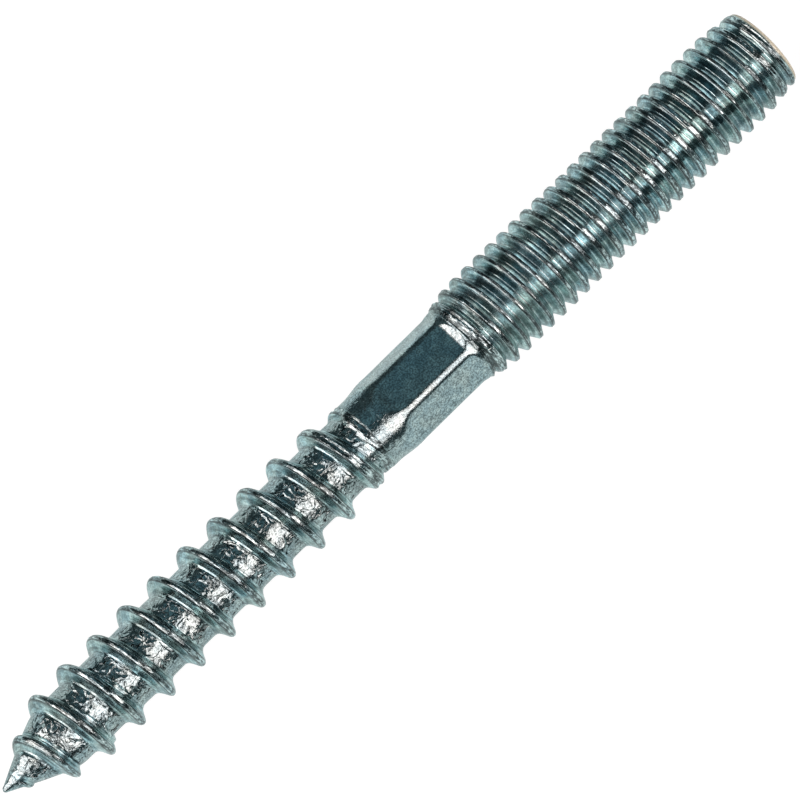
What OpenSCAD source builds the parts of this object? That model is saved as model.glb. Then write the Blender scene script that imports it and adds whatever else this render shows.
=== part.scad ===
// Hanger bolt: a machine thread for a nut or insert, a short hexagon shank to turn it by,
// and a coarse wood thread that runs out to a point. One piece of rolled, plated steel.
// It lies along X with the machine end at +X. X = 0 is where the shank ends and the
// machine thread starts.

/* [Overall] */
// Length from the point to the flat machine end
overall_length = 80.5; // [66:0.5:160]

/* [Machine thread] */
// Length of the machine thread
machine_length = 32.4; // [12:0.1:48]
// Diameter over the machine thread's crests
machine_major_d = 7.9; // [7.6:0.02:9]
// Diameter at the machine thread's roots
machine_minor_d = 6.47; // [6.1:0.01:6.7]
// Pitch of the machine thread
machine_pitch = 1.25; // [1:0.05:2]
// Width of the flat on each machine crest
machine_crest_w = 0.24; // [0.1:0.01:0.3]
// Width of the flat in each machine groove
machine_groove_w = 0.14; // [0.08:0.01:0.25]
// Place of a machine crest's middle on the +Y side
machine_crest_x = 0.33; // [0:0.01:1.25]
// Length over which the thread rises out of the collar
machine_rise_length = 2.6; // [1:0.1:6]
// Length over which the crests get lower before the flat end
end_taper_length = 3.4; // [1:0.1:6]
// How much lower the last crest is than the full thread
end_taper_drop = 0.36; // [0.2:0.01:0.45]
// Diameter of the plain rim round the flat end
end_rim_d = 6.84; // [6.75:0.01:7]
// Thickness of the plain rim
end_rim_t = 0.35; // [0.25:0.05:0.6]
// Radius of the rounded edge of the flat end
end_round_r = 0.15; // [0.05:0.01:0.2]

/* [Shank] */
// Length of the plain shank between the two threads
shank_length = 10.1; // [7:0.1:16]
// Width across the flats
hex_across_flats = 6; // [5.6:0.01:6.2]
// Diameter of the bar that rounds off the hexagon's corners
hex_bar_d = 6.56; // [6.45:0.01:6.7]
// Diameter of the round neck beside the wood thread
neck_d = 6.02; // [5.9:0.01:6.3]
// Length of the round neck
neck_length = 0.9; // [0.6:0.1:2]
// Length over which the bar narrows from the hexagon to the neck
neck_taper_length = 2; // [1:0.1:3]
// Distance from the round neck to where the flats start to run out
flat_to_neck = 2.35; // [2.05:0.1:3.05]
// Length over which the flats run out towards the neck
flat_runout_length = 1.5; // [0.8:0.1:2]
// Radius of the hollow in which the flats end at the collar
flat_hollow_r = 0.9; // [0.5:0.05:1.2]
// Diameter of the collar that the machine thread starts from
collar_d = 6.86; // [6.78:0.01:7.1]
// Length over which the bar widens to the collar
collar_flare_length = 0.25; // [0.1:0.05:0.45]
// Length of the collar's round land
collar_length = 0.3; // [0.2:0.05:0.6]

/* [Wood thread] */
// Diameter over the wood thread's crests
wood_major_d = 7.52; // [6.8:0.02:9]
// Diameter at the wood thread's roots
wood_root_d = 5.34; // [4.9:0.01:5.7]
// Pitch of the wood thread
wood_pitch = 3.15; // [2.6:0.05:4.5]
// Width of the flat on each wood crest
wood_crest_w = 0.28; // [0.15:0.01:0.4]
// Slope of the wood flanks, measured from square to the axis
wood_flank_angle = 31; // [20:1:35]
// Height of the hollow at the foot of each wood flank
wood_foot_h = 0.3; // [0.15:0.01:0.4]
// Width of the hollow at the foot of each wood flank
wood_foot_w = 0.38; // [0.2:0.01:0.45]
// Distance from the tip to the first wood crest on the +Y side
wood_crest_x = 3.04; // [1.5:0.01:4.5]
// Length of the point
point_length = 6.2; // [4:0.1:9]
// Diameter of the blunt tip
tip_d = 0.3; // [0.2:0.05:0.6]
// Distance from the tip at which the wood thread starts
wood_start = 1.2; // [0.8:0.1:3]
// Length over which the wood thread grows to its full height
wood_grow_length = 6.5; // [2:0.1:8]
// Shape of that growth: 1 is a straight rise, and less rises faster at the start
wood_grow_power = 0.6; // [0.4:0.05:1]
// Length over which the wood thread fades before the neck
wood_fade_length = 4.7; // [2:0.1:8]
// Share of its height that the wood thread has lost at the neck
wood_fade = 0.5; // [0.3:0.05:0.9]

/* [Hidden] */

// Flat sides in one turn of a thread
turn_sides = 28;
// Angle from +Y of the first corner: it puts a flat side straight down
first_angle = -90 + 180 / turn_sides;
// How far the pieces of the solid reach into each other
bite = 0.1;
// Steps in a rounded profile
arc_steps = 6;

machine_crest_r = machine_major_d / 2;
machine_root_r = machine_minor_d / 2;
end_rim_r = end_rim_d / 2;
wood_crest_r = wood_major_d / 2;
wood_root_r = wood_root_d / 2;
wood_height = wood_crest_r - wood_root_r;
hex_flat_r = hex_across_flats / 2;
hex_bar_r = hex_bar_d / 2;
neck_r = neck_d / 2;
collar_r = collar_d / 2;
tip_x = machine_length - overall_length;
neck_x = -shank_length;

// One turn of each thread: [place along the pitch, share of the thread's height]
machine_form = let (
    crest = machine_crest_w / machine_pitch,
    groove = machine_groove_w / machine_pitch,
    flank = (1 - crest - groove) / 2
) [[-crest / 2, 1], [crest / 2, 1], [crest / 2 + flank, 0], [1 - crest / 2 - flank, 0]];

wood_form = let (
    crest = wood_crest_w / 2 / wood_pitch,
    foot = crest + (wood_height - wood_foot_h) * tan(wood_flank_angle) / wood_pitch,
    root = foot + wood_foot_w / wood_pitch,
    foot_share = wood_foot_h / wood_height
) [[-crest, 1], [crest, 1], [foot, foot_share], [root, 0], [1 - root, 0], [1 - foot, foot_share]];

// 0 up to a and 1 from b on, with a smooth slope between them
function smooth(a, b, x) =
    let (u = min(max((x - a) / (b - a), 0), 1)) u * u * (3 - 2 * u);

// Radii of the machine thread at x
machine_root = function (x) machine_root_r;
machine_crest = function (x)
    machine_crest_r
    - (machine_crest_r - collar_r) * pow(max(1 - x / machine_rise_length, 0), 3)
    - end_taper_drop * smooth(machine_length - end_taper_length, machine_length, x);

// Radii of the wood thread at x: a point with swollen sides, then a straight bar
wood_root = function (x)
    let (u = min((x - tip_x) / point_length, 1))
    tip_d / 2 + (wood_root_r - tip_d / 2) * (1.2 * u - 0.2 * pow(u, 6));
wood_crest = function (x)
    wood_root(x) + wood_height
    * pow(min(max((x - tip_x - wood_start) / wood_grow_length, 0), 1), wood_grow_power)
    * (1 - wood_fade * smooth(neck_x - wood_fade_length, neck_x, x));

// A bar along X between two flat ends, with a right-hand thread of the given form.
// Each column of points runs along the bar, and stops at the two ends.
module threaded_bar(from_x, to_x, crest_x, pitch, form, root, crest) {
    form_rows = len(form);
    first_turn = floor((from_x - crest_x) / pitch) - 1;
    last_turn = ceil((to_x - crest_x) / pitch) + 1;
    rows = (last_turn - first_turn) * form_rows;
    function angle(side) = first_angle + 360 * side / turn_sides;
    function point(side, row) = let (
        step = form[row % form_rows],
        turn = first_turn + floor(row / form_rows) + angle(side) / 360,
        thread_x = crest_x + pitch * (turn + step[0]),
        x = min(max(thread_x, from_x), to_x),
        r = root(x) + (x == thread_x ? step[1] * (crest(x) - root(x)) : 0)
    ) [x, r * cos(angle(side)), r * sin(angle(side))];
    // A full round of the bar is one turn further along the thread
    function index(side, row) = side < turn_sides
        ? side * rows + row
        : index(side - turn_sides, row + form_rows);
    points = [for (side = [0 : turn_sides - 1], row = [0 : rows - 1]) point(side, row)];
    walls = [for (side = [0 : turn_sides - 1])
        for (row = [0 : rows - 2 - (side == turn_sides - 1 ? form_rows : 0)])
        each [
            [index(side, row), index(side + 1, row + 1), index(side + 1, row)],
            [index(side, row), index(side, row + 1), index(side + 1, row + 1)]
        ]];
    ends = [
        [for (side = [0 : turn_sides - 1]) index(side, 0)],
        [for (side = [turn_sides - 1 : -1 : 0]) index(side, rows - 1)]
    ];
    polyhedron(points, concat(walls, ends), convexity = 10);
}

// A solid turned about X from a profile of [x, radius] points
module turned(profile) {
    rotate([0, 90, 0]) rotate_extrude($fn = 96) polygon([for (p = profile) [p[1], p[0]]]);
}

// Points on an arc from one angle to another
function arc(centre, r, from, to) =
    [for (i = [0 : arc_steps]) let (a = from + (to - from) * i / arc_steps)
        centre + r * [cos(a), sin(a)]];

module machine_thread() {
    threaded_bar(bite, machine_length - bite, machine_crest_x, machine_pitch, machine_form,
        machine_root, machine_crest);
    turned(concat(
        [[machine_length - end_rim_t - bite, 0],
            [machine_length - end_rim_t - bite, machine_root_r - bite],
            [machine_length - end_rim_t, end_rim_r]],
        arc([machine_length - end_round_r, end_rim_r - end_round_r], end_round_r, 90, 0),
        [[machine_length, 0]]
    ));
}

// One flat's cutter in section: down the hollow at the collar, along the flat, up the run-out
module flat_cutter() {
    runout_start = neck_x + neck_length + flat_to_neck;
    clear_r = machine_crest_r + flat_hollow_r;
    rise = hex_bar_r - hex_flat_r;
    rotate([90, 0, 0]) linear_extrude(clear_r * 2, center = true) polygon(concat(
        [[0, clear_r]],
        arc([-flat_hollow_r, hex_flat_r + flat_hollow_r], flat_hollow_r, 0, -90),
        [for (i = [0 : arc_steps]) let (u = i / arc_steps)
            [runout_start - u * flat_runout_length, hex_flat_r + rise * u * u]],
        [[runout_start - flat_runout_length, clear_r]]
    ));
}

module shank() {
    neck_end = neck_x + neck_length;
    difference() {
        turned([
            [neck_x - bite, 0], [neck_x - bite * 3, wood_root_r - bite], [neck_x, neck_r],
            [neck_end, neck_r], [neck_end + neck_taper_length, hex_bar_r],
            [-collar_flare_length, hex_bar_r], [0, collar_r],
            [collar_length, collar_r], [collar_length * 2, machine_root_r - bite],
            [collar_length * 2, 0]
        ]);
        for (side = [0 : 5]) rotate([60 * side, 0, 0]) flat_cutter();
    }
}

module wood_thread() {
    threaded_bar(tip_x, neck_x + bite, tip_x + wood_crest_x, wood_pitch, wood_form,
        wood_root, wood_crest);
}

module hanger_bolt() {
    color("#8fa0a2") union() {
        machine_thread();
        shank();
        wood_thread();
    }
}

hanger_bolt();
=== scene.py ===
"""Looks of the hanger bolt: one fine mesh in the place of the CAD part, with procedural zinc plating."""
import math
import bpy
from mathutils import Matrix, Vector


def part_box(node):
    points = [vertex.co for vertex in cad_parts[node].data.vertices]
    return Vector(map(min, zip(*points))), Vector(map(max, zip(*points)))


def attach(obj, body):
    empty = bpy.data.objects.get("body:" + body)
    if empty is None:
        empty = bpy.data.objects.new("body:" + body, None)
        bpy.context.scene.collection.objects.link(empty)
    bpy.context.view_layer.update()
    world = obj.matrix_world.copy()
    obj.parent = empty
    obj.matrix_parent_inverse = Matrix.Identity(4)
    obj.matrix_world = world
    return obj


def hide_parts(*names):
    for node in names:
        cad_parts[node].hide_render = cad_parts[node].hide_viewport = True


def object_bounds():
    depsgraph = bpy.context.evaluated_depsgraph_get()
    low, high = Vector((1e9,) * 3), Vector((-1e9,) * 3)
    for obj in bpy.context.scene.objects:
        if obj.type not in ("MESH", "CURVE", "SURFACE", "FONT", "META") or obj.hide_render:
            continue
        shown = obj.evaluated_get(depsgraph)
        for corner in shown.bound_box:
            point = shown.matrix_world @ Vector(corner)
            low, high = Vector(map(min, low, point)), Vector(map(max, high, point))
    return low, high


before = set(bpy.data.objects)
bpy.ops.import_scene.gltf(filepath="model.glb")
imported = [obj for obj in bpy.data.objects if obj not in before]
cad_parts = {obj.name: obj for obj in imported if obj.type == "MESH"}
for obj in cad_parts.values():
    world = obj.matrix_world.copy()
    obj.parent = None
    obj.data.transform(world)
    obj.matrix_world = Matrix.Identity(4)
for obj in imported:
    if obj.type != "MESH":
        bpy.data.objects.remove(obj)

from types import SimpleNamespace

import bpy
import numpy as np
from mathutils import Matrix, Vector, noise

MM = 0.001
NODE = "hanger_bolt"
cad_low, cad_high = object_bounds()
box_low, box_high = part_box(NODE)

# Sizes are in millimetres, in the part's frame: X runs along the bolt, from the point to the machine
# end, and is 0 where the shank meets the machine thread. Angles run from +Y towards +Z.
TIP_X = box_low.x / MM
END_X = box_high.x / MM
NECK_X = -10.1

# The machine thread rises out of the collar, has a slight waist, and gets lower before the plain rim
MACHINE_CREST_R = box_high.z / MM
MACHINE_ROOT_R = 3.22
MACHINE_PITCH = 1.25
MACHINE_CREST_X = 0.33
MACHINE_START_R = 3.43
MACHINE_RISE = 2.9
MACHINE_RISE_POWER = 2.2
WAIST = (7, 14, 23.5, 25.5)
WAIST_DEPTH = 0.08
END_TAPER = 3.4
END_DROP = 0.36
RIM_R = 3.42
RIM_THICKNESS = 0.35
RIM_ROUND = 0.15
CUT_SOFTNESS = 0.05
MACHINE_SEAM_SLOPE = 0.35

# The shank is a bar with six flats, which run out towards the neck and end in hollows at the collar.
# Past MOST_RUNOUT times its length a run-out is clear of the bar.
HEX_FLAT_R = 3.0
HEX_BAR_R = 3.28
HEX_SIDES = 6
HEX_ROUND = 1.0
CORNER_RISE = 0.04
EDGE_SOFTNESS = 0.03
NECK_R = 3.01
NECK_LENGTH = 0.9
NECK_TAPER = 2.0
FLAT_TO_NECK = 2.35
FLAT_RUNOUT = 1.5
MOST_RUNOUT = 2
HOLLOW_R = 0.9
COLLAR_R = 3.34
COLLAR_FLARE = 0.12
COLLAR_LENGTH = 0.3

# The shoulder between the wood thread and the neck leads further over the thread on two sides.
# SHOULDER_TURN is in degrees, and no part of the shoulder is further than SHOULDER_REACH from the neck.
SHOULDER_X = NECK_X - 0.25
SHOULDER_RAMP = (SHOULDER_X - 0.03, SHOULDER_X + 0.17)
SHOULDER_LEAD = 0.6
SHOULDER_TURN = (20, 80, 280, 340)
SHOULDER_REACH = 2

# The wood thread grows along the point. Before the neck its crests get lower, wide and seamed.
WOOD_CREST_R = 3.76
WOOD_ROOT_R = 2.67
WOOD_PITCH = 3.15
WOOD_CREST_X = TIP_X + 3.04
POINT_LENGTH = 6.2
POINT_SWELL = 0.2
POINT_SWELL_POWER = 6
TIP_R = 0.15
WOOD_START = 1.2
WOOD_GROW = 6.5
WOOD_GROW_POWER = 0.6
SINK_SOFTNESS = 0.12
WOOD_FADE_LENGTH = 4.7
WOOD_FADE = 0.5
LAST_CREST = (NECK_X - 0.35, NECK_X + 0.15)
UNFILLED = (-14.5, -11.5)
UNFILLED_LAND = 0.2
WOOD_SEAM_DEPTH = 0.12

# Near the point a burr stands like a shelf beside the crests. SHELF_TURN is in degrees.
SHELF_X = (-41.8, -41.2, -37.5, -35.5)
SHELF_TURN = (60, 100, 220, 260)
SHELF_SHARE = 0.42
SHELF_EDGE = (0.8, 0.95)

# Each thread's section, from a crest's middle outwards: distance along the bolt, share of the height
MACHINE_FORM = [
    (0, 0.97), (0.04, 1), (0.115, 0.985), (0.165, 0.885), (0.36, 0.445), (0.53, 0.07), (0.625, 0),
]
WOOD_FORM = [
    (0, 0.995), (0.08, 0.99), (0.16, 0.957), (0.24, 0.895), (0.33, 0.78), (0.42, 0.62), (0.52, 0.44),
    (0.62, 0.28), (0.72, 0.16), (0.84, 0.07), (0.99, 0.015), (1.18, 0), (1.38, 0),
]
FULL_LAND = MACHINE_FORM[2][0]

# The mesh: its points round the bolt, and its rings. A thread's rows are made for SPARE_TURNS past each
# end, and their points past an end ring, or nearer to it than SNAP, join the ring.
COLUMNS = 144
ANGLES = 2 * np.pi * np.arange(COLUMNS) / COLUMNS
SNAP = 0.015
SPARE_TURNS = 2
TIP_RING_X = TIP_X + 0.03
TIP_RING_R = 0.7 * TIP_R
WOOD_FROM = TIP_X + 0.12
SHOULDER_STEP = 0.08
SHANK_STEP = 0.27
HOLLOW_STEP = 0.07
SHANK_RINGS = np.concatenate([
    np.arange(SHOULDER_X + SHOULDER_STEP, NECK_X + 0.1, SHOULDER_STEP),
    np.arange(NECK_X + 0.2, -HOLLOW_R - 0.25, SHANK_STEP),
    np.arange(-HOLLOW_R - 0.1, -0.01, HOLLOW_STEP),
])
RIM_TURNS = np.radians([0, 30, 60, 90])
END_RINGS = (0.9, 0.6, 0.3)

# Unevenness of a rolled thread: the height of each noise, the size of its features, and its seed
SEED_STEP = (17.3, 5.1, 9.7)
WAVER = ((0.045, 1.6, 1), (0.02, 0.7, 2))
MACHINE_WAVER = 0.4
NICKS = ((0.022, 0.45, 3), (0.02, 1.2, 4))
NICK_DEPTH = 0.015
NEAR_AXIS = 1e-6
NICKED = (0.1, 0.25)
WRINKLES = ((0.016, 0.6, 5), (0.022, 1.3, 6))
SWELLS = ((0.012, 3, 7),)
WAVERING_WOOD = (TIP_X + 0.5, TIP_X + 2)
WAVERING_MACHINE = (0, 0.5, END_X - 0.7, END_X - 0.5)

# Where the skin is wrinkled. WRINKLED_ROOT is a distance from the nearest crest, the others are places
# along the bolt, and the strips run along it at even angles.
WRINKLED_ROOT = (0.52, 0.85)
WRINKLED_POINT = (TIP_X + 0.5, TIP_X + 3)
WRINKLED_NECK = (SHOULDER_X - 1.2, SHOULDER_X - 0.4, NECK_X + 0.7, NECK_X + 3.5)
WRINKLED_COLLAR = (-0.5, 0, 1, 2.5)
NECK_WRINKLES = 0.15
COLLAR_WRINKLES = 0.25
STRIPS = 4
STRIP_ANGLE = math.radians(74)
STRIP_MEAN = 0.95
STRIP_SWING = 0.4

# The distance from a crest that the shoulder, the collar and all that is off the threads stand for.
# WOOD_LAND is how much wider the wood crests look, and CREST_MARGIN widens the shoulder and the collar.
ON_CREST = 0.1
CREST_EDGE = 0.13
NO_CREST = 1
WOOD_LAND = 0.08
CREST_MARGIN = 0.05

# Where a cream highlight is painted on the rounded edge of the flat end, along the bolt and from its axis
RIM_HIGHLIGHT_X = (END_X - 0.24, END_X - 0.16)
RIM_HIGHLIGHT_R = (RIM_R - 0.25, RIM_R - 0.16)

# Zones of the plating, by the distance from a crest: the crest, its border, the flank, the thread
CREST_ZONE = (0.12, 0.17)
BORDER_ZONE = (0.1, 0.15, 0.16, 0.23)
FLANK_ZONE = (0.17, 0.25, 0.6, 0.8)
THREAD_ZONE = (0.85, 0.95)

# Places along the bolt: the matt flanks, and the change from the one pitch to the other
MATT_X = (-1, 0, 5, 9)
PITCH_CHANGE_X = (NECK_X + 3, NECK_X + 3.1)

ZINC_BLUE = (0.355, 0.455, 0.48, 1)
ZINC_GREY = (0.39, 0.46, 0.46, 1)
TEAL_BLUE = (0.345, 0.5, 0.54, 1)
TEAL_GREEN = (0.395, 0.53, 0.52, 1)
PALE_ZINC = (0.46, 0.54, 0.53, 1)
# The cream of the painted highlight on the flat end's rounded edge
RIM_HIGHLIGHT_CREAM = (1.0, 0.93, 0.72, 1)

# The studio, in metres. The camera's place follows from where the picture shows the part's origin, and
# its roll from the angle at which the picture shows the bolt.
PICTURE = 800
CAMERA_DISTANCE = 0.92
CAMERA_BACK = Vector((-0.182, -0.274, 0.944)).normalized()
PIXELS_PER_METRE = 13.42 / MM
ORIGIN_PIXEL = (460.6, 343.8)
AXIS_TURN = math.radians(44.416)
SENSOR_MM = 36
FLOOR_HALF = 6
PAPER = (0.25, 0.25, 0.25, 1)
PAPER_SEEN = (0.9, 0.9, 0.9, 1)
PAPER_REFLECTED = (0.45, 0.55, 0.55, 1)
STUDIO_DARK = (0.05, 0.073, 0.078, 1)
PANEL = (0.09, 0.158, 0.183, 1)
PANEL_EDGE = math.radians(36)
PANEL_MIDDLE = math.radians(4)
LAMP_COLOUR = (1.0, 0.855, 0.825)


def smooth(a, b, x):
    """0 up to a and 1 from b on, with a smooth slope between them."""
    u = np.clip((x - a) / (b - a), 0, 1)
    return u * u * (3 - 2 * u)


def plateau(places, x):
    """0 up to the first place, 1 between the two in the middle, and 0 from the last on."""
    return smooth(places[0], places[1], x) * (1 - smooth(places[2], places[3], x))


def soft_min(a, b, softness):
    """The lesser of a and b, rounded where they meet."""
    h = np.clip(0.5 + 0.5 * (b - a) / softness, 0, 1)
    return b + (a - b) * h - softness * h * (1 - h)


def from_crest(x, angle, crest_x, pitch):
    """Distance along the bolt to the nearest crest's middle."""
    turn = (x - crest_x) / pitch - angle / (2 * np.pi)
    return pitch * (turn - np.round(turn))


def share(form, distance):
    """Share of the thread's height at a distance from the crest's middle."""
    return np.interp(np.abs(distance), [p[0] for p in form], [p[1] for p in form])


def machine_crest(x):
    """Radius that the crests reach. Where it is low they are cut off flat, as if rolled from thin bar."""
    rise = np.clip(1 - x / MACHINE_RISE, 0, 1) ** MACHINE_RISE_POWER
    end = smooth(END_X - END_TAPER, END_X, x)
    return (MACHINE_CREST_R - (MACHINE_CREST_R - MACHINE_START_R) * rise
            - WAIST_DEPTH * plateau(WAIST, x) - END_DROP * end)


def machine_land(x):
    """Half the width of the machine crests at x."""
    cut = (machine_crest(x) - MACHINE_ROOT_R) / (MACHINE_CREST_R - MACHINE_ROOT_R)
    places, shares = zip(*MACHINE_FORM[:0:-1])
    return np.interp(cut, shares, places)


def machine_radius(x, angle, shift=0):
    """The thread, with a seam along crests that are wide because they are low, or the collar."""
    d = from_crest(x + shift, angle, MACHINE_CREST_X, MACHINE_PITCH)
    thread = MACHINE_ROOT_R + share(MACHINE_FORM, d) * (MACHINE_CREST_R - MACHINE_ROOT_R)
    thread = soft_min(thread, machine_crest(x), CUT_SOFTNESS)
    seam = MACHINE_SEAM_SLOPE * (machine_land(x) - FULL_LAND)
    thread = thread - np.maximum(seam, 0) * np.clip(1 - np.abs(d) / FULL_LAND, 0, 1)
    collar = np.interp(x, [COLLAR_LENGTH, 2 * COLLAR_LENGTH], [COLLAR_R, MACHINE_ROOT_R])
    return np.maximum(thread, collar)


def wood_root(x):
    """Radius of the point, with swollen sides, and of the bar after it."""
    u = np.clip((x - TIP_X) / POINT_LENGTH, 0, 1)
    swollen = (1 + POINT_SWELL) * u - POINT_SWELL * u ** POINT_SWELL_POWER
    return TIP_R + (WOOD_ROOT_R - TIP_R) * swollen


def shoulder_lead(turn):
    """How much further the shoulder reaches over the wood thread, at an angle in degrees."""
    return SHOULDER_LEAD * plateau(SHOULDER_TURN, turn)


def wood_radius(x, angle, shift=0):
    """The thread sinks into the point at its start. At its end it fades, with a seam along its crest."""
    d = from_crest(x + shift, angle, WOOD_CREST_X, WOOD_PITCH)
    crest_x = x - d
    turn = np.degrees(angle) % 360
    unfilled = smooth(*UNFILLED, x)
    from_land = np.maximum(np.abs(d) - UNFILLED_LAND * unfilled, 0)
    shelf = SHELF_SHARE * (d > 0) * (1 - smooth(*SHELF_EDGE, d))
    shelf = shelf * plateau(SHELF_X, x) * plateau(SHELF_TURN, turn)
    form = np.maximum(share(WOOD_FORM, from_land), shelf)
    grown = np.clip((x - TIP_X - WOOD_START) / WOOD_GROW, 0, 1) ** WOOD_GROW_POWER
    height = -soft_min((WOOD_CREST_R - WOOD_ROOT_R) * (1 - grown - form), 0, SINK_SOFTNESS)
    height = height * (1 - WOOD_FADE * smooth(NECK_X - WOOD_FADE_LENGTH, NECK_X, crest_x))
    height = height * (1 - smooth(*LAST_CREST, crest_x))
    seam = WOOD_SEAM_DEPTH * unfilled * np.clip(1 - np.abs(d) / UNFILLED_LAND, 0, 1)
    thread = wood_root(x) + np.maximum(height - seam, 0)
    shoulder = np.interp(x + shoulder_lead(turn), SHOULDER_RAMP, [WOOD_ROOT_R, NECK_R])
    return np.where(x > NECK_X - SHOULDER_REACH, np.maximum(thread, shoulder), thread)


def rounded_hexagon(flat_r, angle):
    """Radius of a hexagon with two flats square to Z, and corners rounded to HEX_ROUND."""
    side = 2 * np.pi / HEX_SIDES
    from_flat = np.abs((angle - np.pi / 2 + side / 2) % side - side / 2)
    from_corner = side / 2 - from_flat
    corner = (flat_r - HEX_ROUND) / math.cos(side / 2)
    reach = np.maximum(HEX_ROUND ** 2 - (corner * np.sin(from_corner)) ** 2, 0)
    arc = corner * np.cos(from_corner) + np.sqrt(reach)
    on_flat = flat_r * np.tan(from_flat) < corner * math.sin(side / 2)
    return np.where(on_flat, flat_r / np.cos(from_flat), arc)


def shank_radius(x, angle):
    neck_end = NECK_X + NECK_LENGTH
    bar = np.interp(
        x,
        [SHOULDER_X, NECK_X, neck_end, neck_end + NECK_TAPER, -COLLAR_FLARE, 0],
        [WOOD_ROOT_R, NECK_R, NECK_R, HEX_BAR_R, HEX_BAR_R, COLLAR_R],
    )
    runout = np.clip((neck_end + FLAT_TO_NECK - x) / FLAT_RUNOUT, 0, MOST_RUNOUT)
    hollow = np.clip(x + HOLLOW_R, 0, HOLLOW_R)
    flat = HEX_FLAT_R + (HEX_BAR_R - HEX_FLAT_R) * runout ** 2
    flat = flat + HOLLOW_R - np.sqrt(HOLLOW_R ** 2 - hollow ** 2)
    return soft_min(rounded_hexagon(flat, angle), bar + CORNER_RISE, EDGE_SOFTNESS)


def polar(points):
    """Place along the bolt, radius and angle of each point."""
    angle = np.arctan2(points[:, 2], points[:, 1]) % (2 * np.pi)
    return points[:, 0], np.hypot(points[:, 1], points[:, 2]), angle


def beside_crest(points):
    """Distance from the nearest crest's middle. Shoulder and collar count as crests."""
    x, _, angle = polar(points)
    wood = np.abs(from_crest(x, angle, WOOD_CREST_X, WOOD_PITCH))
    wood = wood - WOOD_LAND - UNFILLED_LAND * smooth(*UNFILLED, x)
    machine = np.abs(from_crest(x, angle, MACHINE_CREST_X, MACHINE_PITCH))
    machine = machine - machine_land(x) + FULL_LAND
    on_wood = (x > TIP_X + WOOD_START) & (x < SHOULDER_X)
    on_machine = (x > 0) & (x < END_X - RIM_THICKNESS + SNAP)
    nearest = np.where(on_wood, wood, np.where(on_machine, machine, NO_CREST))
    lead = shoulder_lead(np.degrees(angle))
    on_shoulder = (x > SHOULDER_X - CREST_MARGIN - lead) & (x < NECK_X + CREST_MARGIN)
    on_collar = (x > -CREST_MARGIN) & (x < COLLAR_LENGTH + 2 * CREST_MARGIN)
    return np.where(on_shoulder, ON_CREST, np.where(on_collar, CREST_EDGE, nearest))


def wrinkled_share(points):
    """How wrinkled the skin is: most in strips along the wood thread's roots, less at neck and collar."""
    x, _, angle = polar(points)
    strips = STRIP_MEAN + STRIP_SWING * np.cos(STRIPS * (angle - STRIP_ANGLE))
    root = (x < SHOULDER_X) * smooth(*WRINKLED_ROOT, beside_crest(points)) * smooth(*WRINKLED_POINT, x)
    neck = NECK_WRINKLES * plateau(WRINKLED_NECK, x)
    return np.maximum(root * strips, neck) + COLLAR_WRINKLES * plateau(WRINKLED_COLLAR, x)


def painted_rim_highlight(points):
    """1 on the rounded edge of the flat end, where a pale cream highlight is painted, and 0 elsewhere."""
    x, radius, _ = polar(points)
    return smooth(*RIM_HIGHLIGHT_X, x) * smooth(*RIM_HIGHLIGHT_R, radius)


def unevenness(points, layers):
    """The sum of smooth noises at each point. A layer is its height, the size of its features, its seed."""
    total = np.zeros(len(points))
    for height, size, seed in layers:
        start = Vector([seed * step for step in SEED_STEP])
        total += height * np.array([noise.noise(Vector(p) / size + start) for p in points])
    return total


def roughen(points):
    """The points with the unevenness of a rolled thread: wavering turns, nicked crests, wrinkled roots."""
    x, radius, angle = polar(points)
    shift = unevenness(points, WAVER)
    wood = wood_radius(x, angle, shift) - wood_radius(x, angle)
    machine = machine_radius(x, angle, MACHINE_WAVER * shift) - machine_radius(x, angle)
    on_wood = smooth(*WAVERING_WOOD, x) * (x < SHOULDER_X)
    on_machine = plateau(WAVERING_MACHINE, x)
    on_shank = (x >= SHOULDER_X) * (x <= 0)
    crest = 1 - smooth(*NICKED, beside_crest(points))
    nicks = crest * (unevenness(points, NICKS) - NICK_DEPTH)
    wrinkles = wrinkled_share(points) * unevenness(points, WRINKLES)
    moved = radius + on_wood * wood + on_machine * machine
    moved += (on_wood + on_machine + on_shank) * (nicks + wrinkles + unevenness(points, SWELLS))
    moved = np.minimum(moved, MACHINE_CREST_R) / np.maximum(radius, NEAR_AXIS)
    return points * np.stack([np.ones(len(x)), moved, moved], -1)


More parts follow.
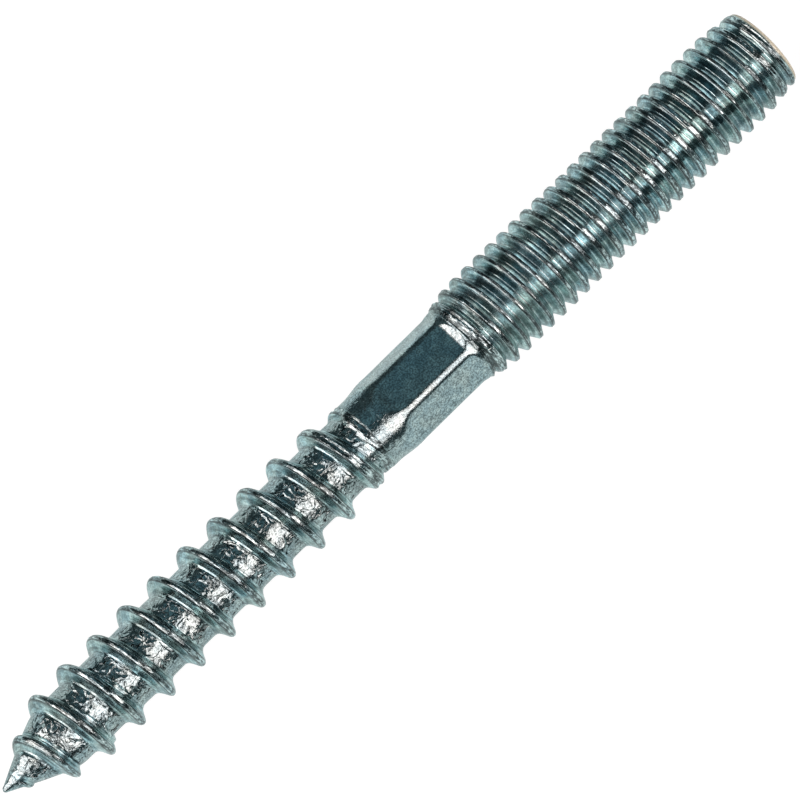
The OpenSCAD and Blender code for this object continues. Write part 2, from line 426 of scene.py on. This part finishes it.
class Skin:
    """The bolt's surface, grown ring by ring from the tip to the machine end."""

    def __init__(self):
        self.points = []
        self.faces = []

    def add(self, x, radius, angle):
        points = np.stack([x, radius * np.cos(angle), radius * np.sin(angle)], -1).reshape(-1, 3)
        first = len(self.points)
        self.points.extend(map(tuple, points))
        return first + np.arange(len(points))

    def face(self, corners):
        """Add a face, without the corners that have become one point."""
        kept = [c for i, c in enumerate(corners) if c != corners[i - 1]]
        if len(set(kept)) > 2:
            self.faces.append(kept)

    def ring(self, x, radius):
        return self.add(np.full(COLUMNS, x), np.broadcast_to(radius, COLUMNS), ANGLES)

    def band(self, before, after):
        for j in range(COLUMNS):
            k = (j + 1) % COLUMNS
            self.face([before[j], before[k], after[k], after[j]])

    def next_ring(self, before, x, radius):
        """Add a ring and the band up to it."""
        after = self.ring(x, radius)
        self.band(before, after)
        return after

    def cap(self, ring, x, outward):
        centre = self.add(np.array([x]), np.array([0.0]), np.array([0.0]))[0]
        for j in range(COLUMNS):
            k = (j + 1) % COLUMNS
            self.face([ring[j], ring[k], centre] if outward > 0 else [ring[k], ring[j], centre])

    def thread(self, before, after, from_x, to_x, crest_x, pitch, form, radius):
        """Rows that follow the thread. Where a row would pass an end ring it joins the ring.

        A form that reaches half the pitch has its last row in the next crest's first.
        """
        steps = [-p[0] for p in form[:0:-1]] + [p[0] for p in form]
        if abs(2 * form[-1][0] - pitch) < SNAP:
            steps = steps[1:]
        first = math.floor((from_x - crest_x) / pitch) - SPARE_TURNS
        last = math.ceil((to_x - crest_x) / pitch) + SPARE_TURNS
        starts = crest_x + pitch * np.arange(first, last)
        along = (starts[:, None] + np.array(steps)[None, :]).ravel()
        x = along[:, None] + pitch * ANGLES[None, :] / (2 * np.pi)
        inside = (x > from_x + SNAP) & (x < to_x - SNAP)
        index = np.where(x < (from_x + to_x) / 2, before[None, :], after[None, :])
        angle = np.broadcast_to(ANGLES[None, :], x.shape)
        index[inside] = self.add(x[inside], radius(x, angle)[inside], angle[inside])
        for j in range(COLUMNS):
            k = (j + 1) % COLUMNS
            shift = len(steps) if k == 0 else 0
            for row in range(len(along) - 1 - shift):
                self.face([index[row, j], index[row + shift, k],
                           index[row + 1 + shift, k], index[row + 1, j]])


def grow_wood(skin):
    tip = skin.ring(TIP_RING_X, TIP_RING_R)
    skin.cap(tip, TIP_X, -1)
    start = skin.next_ring(tip, WOOD_FROM, wood_radius(WOOD_FROM, ANGLES))
    end = skin.ring(SHOULDER_X, wood_radius(SHOULDER_X, ANGLES))
    skin.thread(start, end, WOOD_FROM, SHOULDER_X, WOOD_CREST_X, WOOD_PITCH, WOOD_FORM, wood_radius)
    return end


def grow_shank(skin, ring):
    for x in SHANK_RINGS:
        radius = shank_radius(x, ANGLES)
        if x < NECK_X:
            radius = np.maximum(radius, wood_radius(x, ANGLES))
        ring = skin.next_ring(ring, x, radius)
    return skin.next_ring(ring, 0, shank_radius(0, ANGLES))


def grow_machine(skin, collar):
    rim_x = END_X - RIM_THICKNESS
    ring = skin.ring(rim_x, np.maximum(RIM_R, machine_radius(rim_x, ANGLES)))
    skin.thread(collar, ring, 0, rim_x, MACHINE_CREST_X, MACHINE_PITCH, MACHINE_FORM, machine_radius)
    for turn in RIM_TURNS:
        x = END_X - RIM_ROUND * (1 - math.sin(turn))
        ring = skin.next_ring(ring, x, RIM_R - RIM_ROUND * (1 - math.cos(turn)))
    for part in END_RINGS:
        ring = skin.next_ring(ring, END_X, RIM_R * part)
    skin.cap(ring, END_X, 1)


def make_bolt(material):
    skin = Skin()
    neck = grow_wood(skin)
    collar = grow_shank(skin, neck)
    grow_machine(skin, collar)
    points = np.array(skin.points)
    layers = {
        "beside_crest": beside_crest(points),
        "wrinkled": wrinkled_share(points),
        "painted_rim_highlight": painted_rim_highlight(points),
    }
    mesh = bpy.data.meshes.new("bolt")
    mesh.from_pydata((roughen(points) * MM).tolist(), [], skin.faces)
    mesh.polygons.foreach_set("use_smooth", np.ones(len(mesh.polygons), bool))
    for name, values in layers.items():
        mesh.attributes.new(name, "FLOAT", "POINT").data.foreach_set("value", values.astype(np.float32))
    mesh.update()
    bolt = bpy.data.objects.new("bolt", mesh)
    bpy.context.scene.collection.objects.link(bolt)
    bolt.data.materials.append(material)
    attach(bolt, "root")
    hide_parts(NODE)


class Graph:
    """A tree of shader nodes, made one at a time and linked as they are made."""

    def __init__(self, tree):
        self.tree = tree

    def put(self, socket, value):
        if isinstance(value, bpy.types.NodeSocket):
            self.tree.links.new(value, socket)
        else:
            socket.default_value = value

    def add(self, kind, inputs, output=0, **settings):
        node = self.tree.nodes.new("ShaderNode" + kind)
        for name, value in settings.items():
            setattr(node, name, value)
        for name, value in inputs.items():
            self.put(node.inputs[name], value)
        return node.outputs[output]

    def layer(self, name):
        """A number that the mesh carries at each point."""
        return self.add("Attribute", {}, output="Fac", attribute_name=name)

    def math(self, operation, a, b=0.0):
        return self.add("Math", {0: a, 1: b}, operation=operation)

    def times(self, first, *others):
        for other in others:
            first = self.math("MULTIPLY", first, other)
        return first

    def total(self, first, *others):
        for other in others:
            first = self.math("ADD", first, other)
        return first

    def vector(self, operation, a, b):
        return self.add("VectorMath", {0: a, 1: b}, operation=operation)

    def scale(self, vector, factor):
        return self.add("VectorMath", {0: vector, "Scale": factor}, operation="SCALE")

    def noise(self, place, scale, detail=2.0, roughness=0.5, output=0):
        inputs = {"Vector": place, "Scale": scale, "Detail": detail, "Roughness": roughness}
        return self.add("TexNoise", inputs, output)

    def between(self, value, low, high, to_low=0.0, to_high=1.0):
        inputs = {"Value": value, "From Min": low, "From Max": high, "To Min": to_low, "To Max": to_high}
        return self.add("MapRange", inputs)

    def centred(self, value, reach, to_low=0.0, to_high=1.0):
        """A noise, which keeps near 0.5, stretched from that reach on either side of it."""
        return self.between(value, 0.5 - reach, 0.5 + reach, to_low, to_high)

    def up_to(self, value, places):
        """1 up to the first place, and 0 from the second on."""
        return self.between(value, places[0], places[1], 1.0, 0.0)

    def plateau(self, value, places):
        return self.times(self.between(value, places[0], places[1]), self.up_to(value, places[2:]))

    def blend(self, share, a, b):
        """A number that goes from a to b."""
        return self.add("Mix", {0: share, 2: a, 3: b})

    def mix(self, share, a, b):
        """A colour that goes from a to b."""
        return self.add("Mix", {0: share, 6: a, 7: b}, output=2, data_type="RGBA")


def along_thread(graph, place, across, along):
    """A noise drawn out along both threads, with that many features to a millimetre each way."""
    split = graph.tree.nodes.new("ShaderNodeSeparateXYZ")
    graph.put(split.inputs[0], place)
    x, y, z = split.outputs
    pitch = graph.between(x, *PITCH_CHANGE_X, WOOD_PITCH, MACHINE_PITCH)
    turn = graph.times(graph.math("DIVIDE", x, pitch), 2 * math.pi)
    turn = graph.math("SUBTRACT", turn, graph.math("ARCTAN2", z, y))
    radius = graph.times(pitch, across / (2 * math.pi))
    point = graph.add("CombineXYZ", {
        "X": graph.times(graph.math("COSINE", turn), radius),
        "Y": graph.times(graph.math("SINE", turn), radius),
        "Z": graph.times(y, along),
    })
    fourth = graph.total(graph.times(z, along), graph.times(x, 0.5 * along))
    inputs = {"Vector": point, "W": fourth, "Scale": 1.0, "Detail": 2.0, "Roughness": 0.6}
    return graph.add("TexNoise", inputs, noise_dimensions="4D")


def make_zones(graph, place):
    """How far each point of the plating belongs to each of its zones."""
    beside = graph.layer("beside_crest")
    x = graph.add("SeparateXYZ", {0: place})
    return SimpleNamespace(
        crest=graph.up_to(beside, CREST_ZONE),
        border=graph.plateau(beside, BORDER_ZONE),
        flank=graph.plateau(beside, FLANK_ZONE),
        threaded=graph.up_to(beside, THREAD_ZONE),
        matt=graph.plateau(x, MATT_X),
        wrinkled=graph.layer("wrinkled"),
        rim_highlight=graph.layer("painted_rim_highlight"),
    )


def make_patterns(graph, place):
    """The noises of the plating, with their features to a millimetre, detail and roughness."""
    bend = graph.scale(graph.noise(place, 1.1, 1, output="Color"), 1.2)
    round_bolt = graph.vector("ADD", graph.vector("MULTIPLY", place, (0.4, 1.0, 1.0)), bend)
    along_bolt = graph.vector("ADD", graph.vector("MULTIPLY", place, (1.0, 0.4, 0.4)), bend)
    return SimpleNamespace(
        plates=graph.noise(round_bolt, 1.0, 2, 0.4),
        scales=graph.noise(along_bolt, 2.3, 1, 0.4),
        wrinkle=graph.noise(along_bolt, 1.5, 1, 0.4),
        speck=graph.noise(place, 7, 4, 0.7),
        streak=along_thread(graph, place, 6.0, 0.5),
        dash=along_thread(graph, place, 7.0, 2.0),
        hue=graph.noise(place, 0.35, 3, 0.6),
        patch=graph.noise(place, 1.4, 3, 0.6),
        fading=graph.noise(place, 0.8),
        haze=graph.noise(place, 0.22),
        fine_haze=graph.noise(place, 1.3),
    )


def zinc_tone(graph, zone, pattern):
    """How bright the plating is: specks, patches, streaked threads and pitted crests, with painted shade
    along the crests' edges and in the folds.
    """
    plain_specks = graph.centred(pattern.speck, 0.06, 0.58, 1.42)
    thread_specks = graph.centred(pattern.speck, 0.07, 0.78, 1.25)
    specks = graph.blend(zone.threaded, plain_specks, thread_specks)
    patches = graph.centred(pattern.patch, 0.08, 0.88, 1.12)
    streaks = graph.times(
        graph.centred(pattern.streak, 0.07, 0.66, 1.32),
        graph.centred(pattern.fading, 0.06, 0.82, 1.12),
    )
    streaks = graph.blend(zone.threaded, 1.0, streaks)
    # Painted shade: the plating is darkened along the edges of each crest
    painted_border_shade = graph.blend(zone.border, 1.0, 0.3)
    pits = graph.blend(zone.crest, 1.0, graph.centred(pattern.dash, 0.06, 0.35, 1.3))
    tone = graph.times(specks, patches, streaks, painted_border_shade, pits)
    # Painted shade: thin dark lines along the folds of the wrinkled skin
    for folds, dark in ((pattern.plates, 0.8), (pattern.scales, 0.35)):
        from_fold = graph.math("ABSOLUTE", graph.math("SUBTRACT", folds, 0.5))
        painted_fold_shade = graph.times(graph.between(from_fold, 0.006, 0.02, dark, 0.0), zone.wrinkled)
        unshaded_share = graph.add("Math", {0: 1.0, 1: painted_fold_shade}, operation="SUBTRACT", use_clamp=True)
        tone = graph.times(tone, unshaded_share)
    return tone


def zinc_colour(graph, zone, pattern):
    """Blue-green, more so on the flanks, and a painted cream highlight on the rounded edge of the flat end.
    """
    hue = graph.centred(pattern.hue, 0.08)
    colour = graph.mix(hue, ZINC_BLUE, ZINC_GREY)
    teal = graph.mix(hue, TEAL_BLUE, TEAL_GREEN)
    colour = graph.mix(graph.times(zone.flank, 0.85), colour, teal)
    colour = graph.mix(graph.between(pattern.patch, 0.5, 0.62, 0.0, 0.5), colour, PALE_ZINC)
    colour = graph.scale(colour, zinc_tone(graph, zone, pattern))
    return graph.mix(zone.rim_highlight, colour, RIM_HIGHLIGHT_CREAM)


def zinc_roughness(graph, zone, pattern):
    """Bright plating with a slight haze, most on the flanks, and matt flanks beside the collar."""
    haze = graph.total(
        graph.centred(pattern.haze, 0.08, 0.0, 0.09),
        graph.centred(pattern.fine_haze, 0.08, 0.0, 0.05),
    )
    haze = graph.times(haze, graph.total(0.2, zone.flank))
    matt = graph.times(zone.flank, graph.between(zone.matt, 0.0, 1.0, 0.02, 0.1))
    return graph.total(0.09, haze, matt, graph.times(zone.crest, 0.06), graph.times(zone.rim_highlight, 0.3))


def zinc_height(graph, zone, pattern):
    """Bump in millimetres: wrinkled roots, lines along the threads, dashed crests and a fine grain."""
    wrinkles = graph.total(
        graph.times(pattern.wrinkle, 0.28),
        graph.centred(pattern.plates, 0.02, 0.0, 0.045),
        graph.centred(pattern.scales, 0.03, 0.0, 0.007),
    )
    wrinkles = graph.times(wrinkles, zone.wrinkled)
    lines = graph.times(pattern.streak, zone.threaded, 0.03)
    dashes = graph.times(pattern.dash, zone.crest, 0.05)
    grain = graph.times(pattern.speck, graph.blend(zone.threaded, 0.014, 0.004))
    return graph.total(wrinkles, lines, dashes, grain)


def new_material(name):
    """A new material, its graph and its Principled shader."""
    material = bpy.data.materials.new(name)
    material.use_nodes = True
    return material, Graph(material.node_tree), material.node_tree.nodes["Principled BSDF"]


def zinc():
    """Zinc plating on rolled steel. Its patterns are laid out in millimetres."""
    material, graph, shader = new_material("zinc plate")
    metres = graph.add("TexCoord", {}, output="Object")
    place = graph.scale(metres, 1 / MM)
    zone = make_zones(graph, place)
    pattern = make_patterns(graph, place)
    height = zinc_height(graph, zone, pattern)
    graph.put(shader.inputs["Base Color"], zinc_colour(graph, zone, pattern))
    # The painted rim highlight is not metal, so that its cream shows
    graph.put(shader.inputs["Metallic"], graph.math("SUBTRACT", 1.0, zone.rim_highlight))
    graph.put(shader.inputs["Roughness"], zinc_roughness(graph, zone, pattern))
    bump = graph.add("Bump", {"Height": height, "Distance": MM, "Strength": 1.0})
    graph.put(shader.inputs["Normal"], bump)
    return material


def make_floor():
    """White paper. Its glow is for the camera, and in part for gloss, so that the shadow stays in it."""
    material, graph, shader = new_material("floor paper")
    shader.inputs["Base Color"].default_value = PAPER
    shader.inputs["Roughness"].default_value = 1
    shader.inputs["Specular IOR Level"].default_value = 0
    path = graph.tree.nodes.new("ShaderNodeLightPath").outputs
    glow = graph.mix(path["Is Camera Ray"], PAPER_REFLECTED, PAPER_SEEN)
    seen = graph.total(path["Is Camera Ray"], path["Is Glossy Ray"], path["Is Transmission Ray"])
    glow = graph.add("Emission", {"Color": glow, "Strength": seen})
    both = graph.add("AddShader", {0: shader.outputs[0], 1: glow})
    graph.put(graph.tree.nodes["Material Output"].inputs["Surface"], both)

    half, z = FLOOR_HALF, cad_low.z
    mesh = bpy.data.meshes.new("floor")
    corners = [(-half, -half, z), (half, -half, z), (half, half, z), (-half, half, z)]
    mesh.from_pydata(corners, [], [(0, 1, 2, 3)])
    floor = bpy.data.objects.new("floor", mesh)
    bpy.context.scene.collection.objects.link(floor)
    floor.data.materials.append(material)


def across_view(back):
    """The direction nearest to the bolt's axis in a plane square to back, and the one square to both."""
    along = Vector((1, 0, 0))
    along = (along - back * along.dot(back)).normalized()
    return along, back.cross(along)


def make_lamp(name, direction, shift, size, power):
    """A soft box 1 m from the bolt, moved by shift along it. size is along the bolt and across it."""
    data = bpy.data.lights.new(name, "AREA")
    data.shape = "RECTANGLE"
    data.size, data.size_y = size
    data.energy = power
    data.color = LAMP_COLOUR
    lamp = bpy.data.objects.new(name, data)
    bpy.context.scene.collection.objects.link(lamp)
    back = Vector(direction).normalized()
    along, up = across_view(back)
    turn = Matrix((along, up, back)).transposed().to_4x4()
    lamp.matrix_world = Matrix.Translation(back + along * shift) @ turn


def make_camera():
    data = bpy.data.cameras.new("camera")
    camera = bpy.data.objects.new("camera", data)
    bpy.context.scene.collection.objects.link(camera)
    along, across = across_view(CAMERA_BACK)
    right = along * math.cos(AXIS_TURN) - across * math.sin(AXIS_TURN)
    up = along * math.sin(AXIS_TURN) + across * math.cos(AXIS_TURN)
    place = (CAMERA_BACK * CAMERA_DISTANCE
             - right * (ORIGIN_PIXEL[0] - PICTURE / 2) / PIXELS_PER_METRE
             - up * (PICTURE / 2 - ORIGIN_PIXEL[1]) / PIXELS_PER_METRE)
    turn = Matrix((right, up, CAMERA_BACK)).transposed().to_4x4()
    camera.matrix_world = Matrix.Translation(place) @ turn
    data.sensor_width = SENSOR_MM
    data.lens = PIXELS_PER_METRE * CAMERA_DISTANCE * SENSOR_MM / PICTURE
    data.clip_start = 0.01
    data.clip_end = 100
    bpy.context.scene.camera = camera


def make_world():
    """A dark studio with a blue-green panel overhead, where a level surface mirrors it to the camera."""
    world = bpy.data.worlds.new("studio")
    world.use_nodes = True
    graph = Graph(world.node_tree)
    direction = graph.add("TexCoord", {}, output="Generated")
    panel = Vector((-CAMERA_BACK.x, -CAMERA_BACK.y, CAMERA_BACK.z))
    towards = graph.add("VectorMath", {0: direction, 1: panel}, output="Value", operation="DOT_PRODUCT")
    inputs = {"Value": towards, "From Min": math.cos(PANEL_EDGE), "From Max": math.cos(PANEL_MIDDLE)}
    share_of_panel = graph.add("MapRange", inputs, interpolation_type="SMOOTHSTEP")
    colour = graph.mix(share_of_panel, STUDIO_DARK, PANEL)
    graph.put(graph.tree.nodes["Background"].inputs["Color"], colour)
    bpy.context.scene.world = world


bpy.context.scene.view_settings.view_transform = "Standard"
make_world()
make_floor()
make_lamp("front softbox", direction=(0, -0.695, 0.72), shift=0.8, size=(2.4, 0.57), power=10.35)
make_lamp("tip softbox", direction=(-0.766, 0.209, 0.608), shift=0, size=(1.15, 1.4), power=12.1)
make_bolt(zinc())
make_camera()
